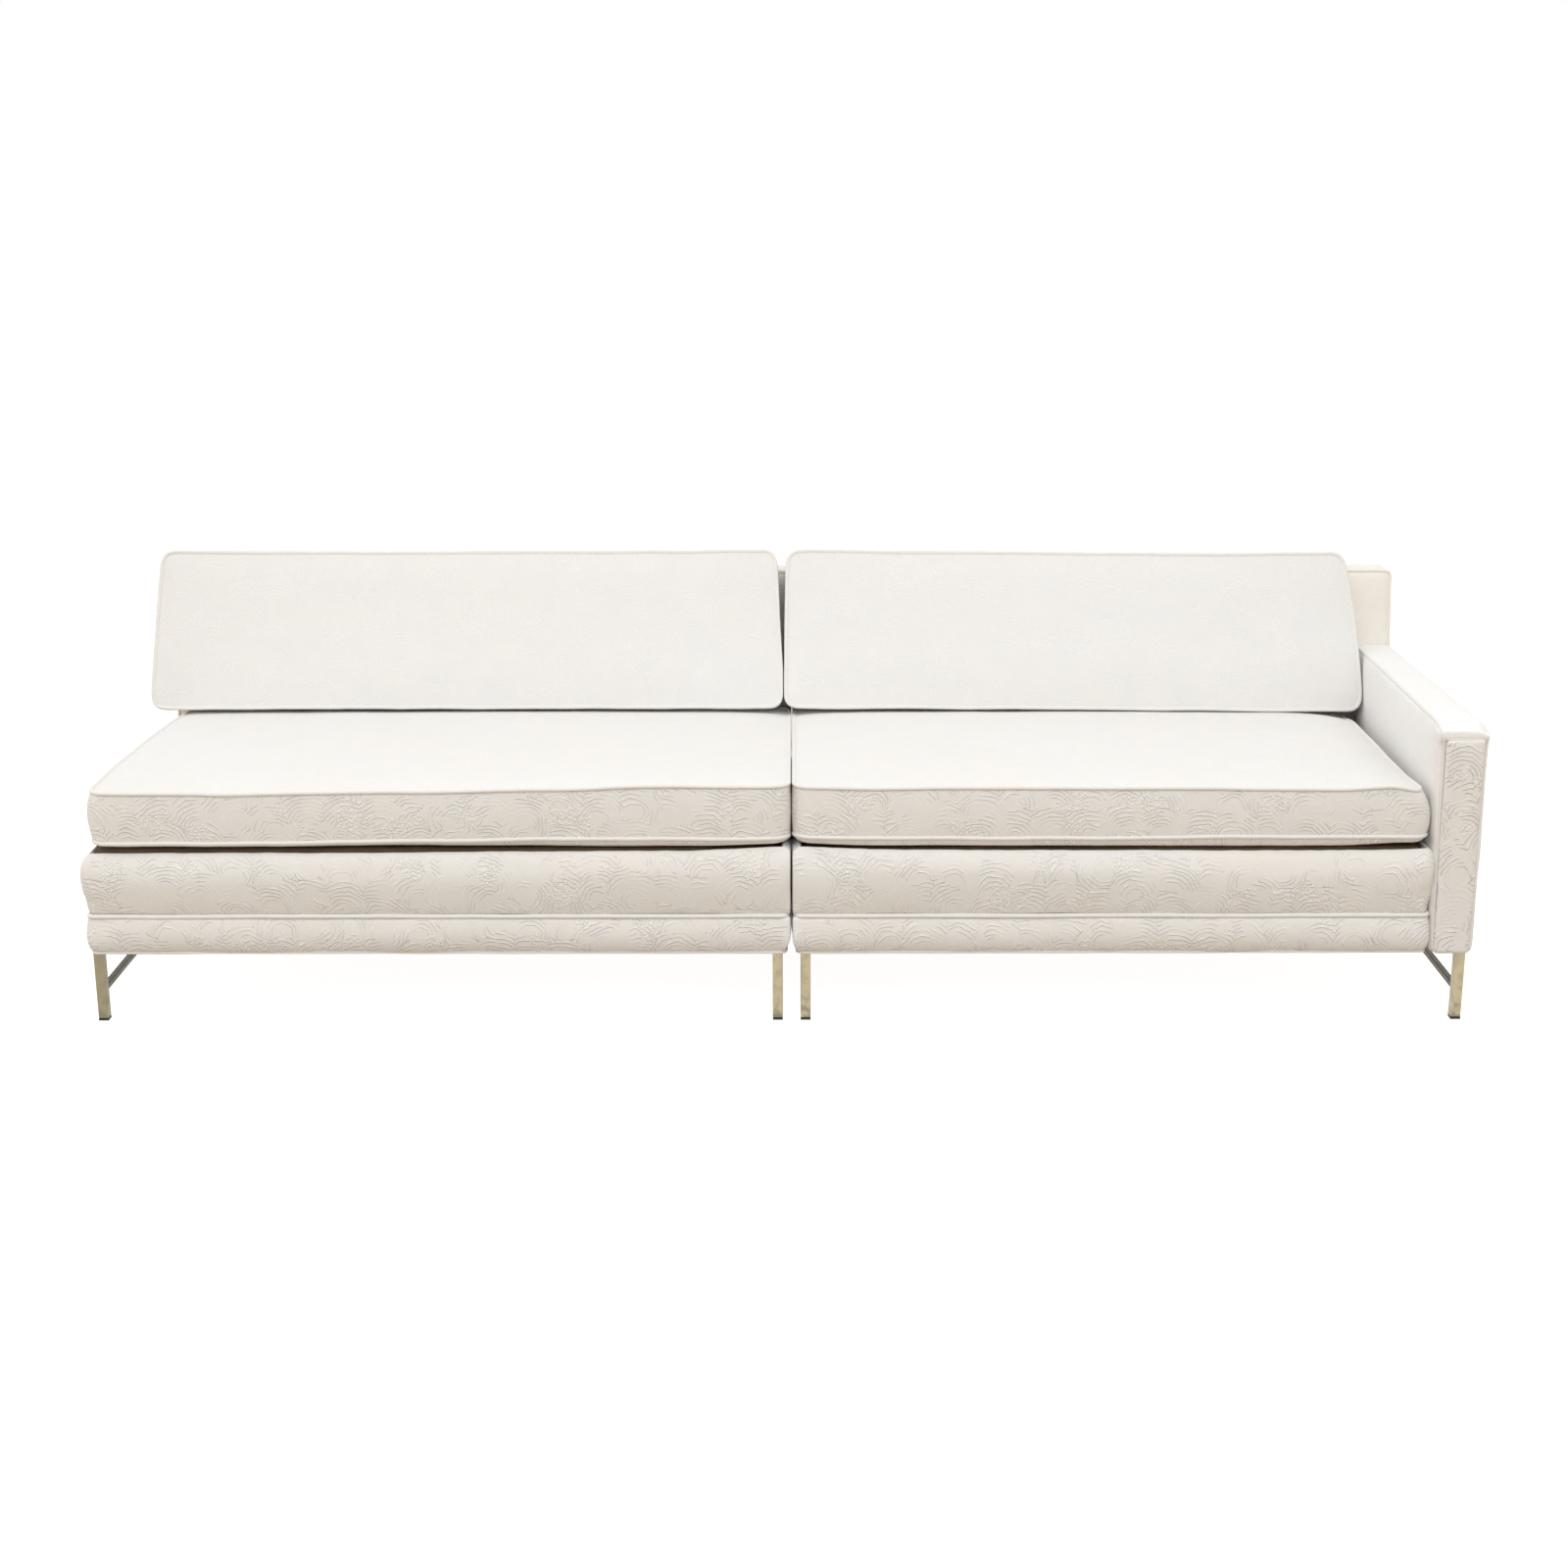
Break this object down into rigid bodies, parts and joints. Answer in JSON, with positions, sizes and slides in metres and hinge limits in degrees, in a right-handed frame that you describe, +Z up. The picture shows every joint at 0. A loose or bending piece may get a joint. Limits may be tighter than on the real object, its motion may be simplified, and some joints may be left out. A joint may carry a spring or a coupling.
{
  "type": "sectional sofa",
  "caption": "Low sectional sofa: an armless unit beside a right-arm unit, loose boxed cushions, raked back frames and slim square brass legs.",
  "frame": {"origin": "on the floor, at the middle of the whole sofa's bounding box seen from above", "axes": "+X to the sitter's left along the sofa, which is the right-hand side of the picture, where the arm is; -Y is the front; +Z up"},
  "size_m": [2.487, 0.773, 0.7531],
  "materials": {
    "fabric": "raised tone-on-tone weave",
    "lining": "thin black cambric",
    "wood": "planed, unfinished",
    "brass": "aged, satin",
    "springs": "drawn wire",
    "glide": "black, moulded"
  },
  "bodies": {
    "armless_section": {"armless_front_rail": "wood", "armless_rear_rail": "wood", "armless_left_side_rail": "wood", "armless_right_side_rail": "wood", "armless_seat_springs": "springs", "armless_deck_pad": "lining", "armless_seat_band": "fabric", "armless_base_border": "fabric", "armless_base_welt": "fabric", "armless_dust_cover": "lining", "armless_leg_front_left": "brass", "armless_leg_front_right": "brass", "armless_leg_rear_left": "brass", "armless_leg_rear_right": "brass", "armless_glide_front_left": "glide", "armless_glide_front_right": "glide", "armless_glide_rear_left": "glide", "armless_glide_rear_right": "glide", "armless_stretcher_left": "brass", "armless_stretcher_right": "brass", "armless_back_top_rail": "wood", "armless_back_bottom_rail": "wood", "armless_back_left_post": "wood", "armless_back_right_post": "wood", "armless_back_cover": "fabric"},
    "arm_section": {"arm_unit_front_rail": "wood", "arm_unit_rear_rail": "wood", "arm_unit_left_side_rail": "wood", "arm_unit_right_side_rail": "wood", "arm_unit_seat_springs": "springs", "arm_unit_deck_pad": "lining", "arm_unit_seat_band": "fabric", "arm_unit_base_border": "fabric", "arm_unit_base_welt": "fabric", "arm_unit_dust_cover": "lining", "arm_unit_leg_front_left": "brass", "arm_unit_leg_front_right": "brass", "arm_unit_leg_rear_left": "brass", "arm_unit_leg_rear_right": "brass", "arm_unit_glide_front_left": "glide", "arm_unit_glide_front_right": "glide", "arm_unit_glide_rear_left": "glide", "arm_unit_glide_rear_right": "glide", "arm_unit_stretcher_left": "brass", "arm_unit_stretcher_right": "brass", "arm_unit_back_top_rail": "wood", "arm_unit_back_bottom_rail": "wood", "arm_unit_back_left_post": "wood", "arm_unit_back_right_post": "wood", "arm_unit_back_cover": "fabric", "arm_unit_arm_board": "wood", "arm_unit_arm_cover": "fabric", "arm_unit_arm_front_panel": "fabric"},
    "armless_seat": {"armless_seat_cushion": "fabric"},
    "armless_back": {"armless_back_cushion": "fabric"},
    "arm_unit_seat": {"arm_unit_seat_cushion": "fabric"},
    "arm_unit_back": {"arm_unit_back_cushion": "fabric"}
  },
  "joints": [
    {"name": "units_part", "type": "slide", "parent": "armless_section", "child": "arm_section", "axis": [1, 0, 0], "range_m": [0, 0.5]},
    {"name": "armless_seat_draw", "type": "slide", "parent": "armless_section", "child": "armless_seat", "axis": [0, -1, 0], "range_m": [0, 0.4]},
    {"name": "armless_back_lift", "type": "slide", "parent": "armless_section", "child": "armless_back", "axis": [0, 0, 1], "range_m": [0, 0.35]},
    {"name": "arm_unit_seat_draw", "type": "slide", "parent": "arm_section", "child": "arm_unit_seat", "axis": [0, -1, 0], "range_m": [0, 0.4]},
    {"name": "arm_unit_back_lift", "type": "slide", "parent": "arm_section", "child": "arm_unit_back", "axis": [0, 0, 1], "range_m": [0, 0.35]}
  ]
}
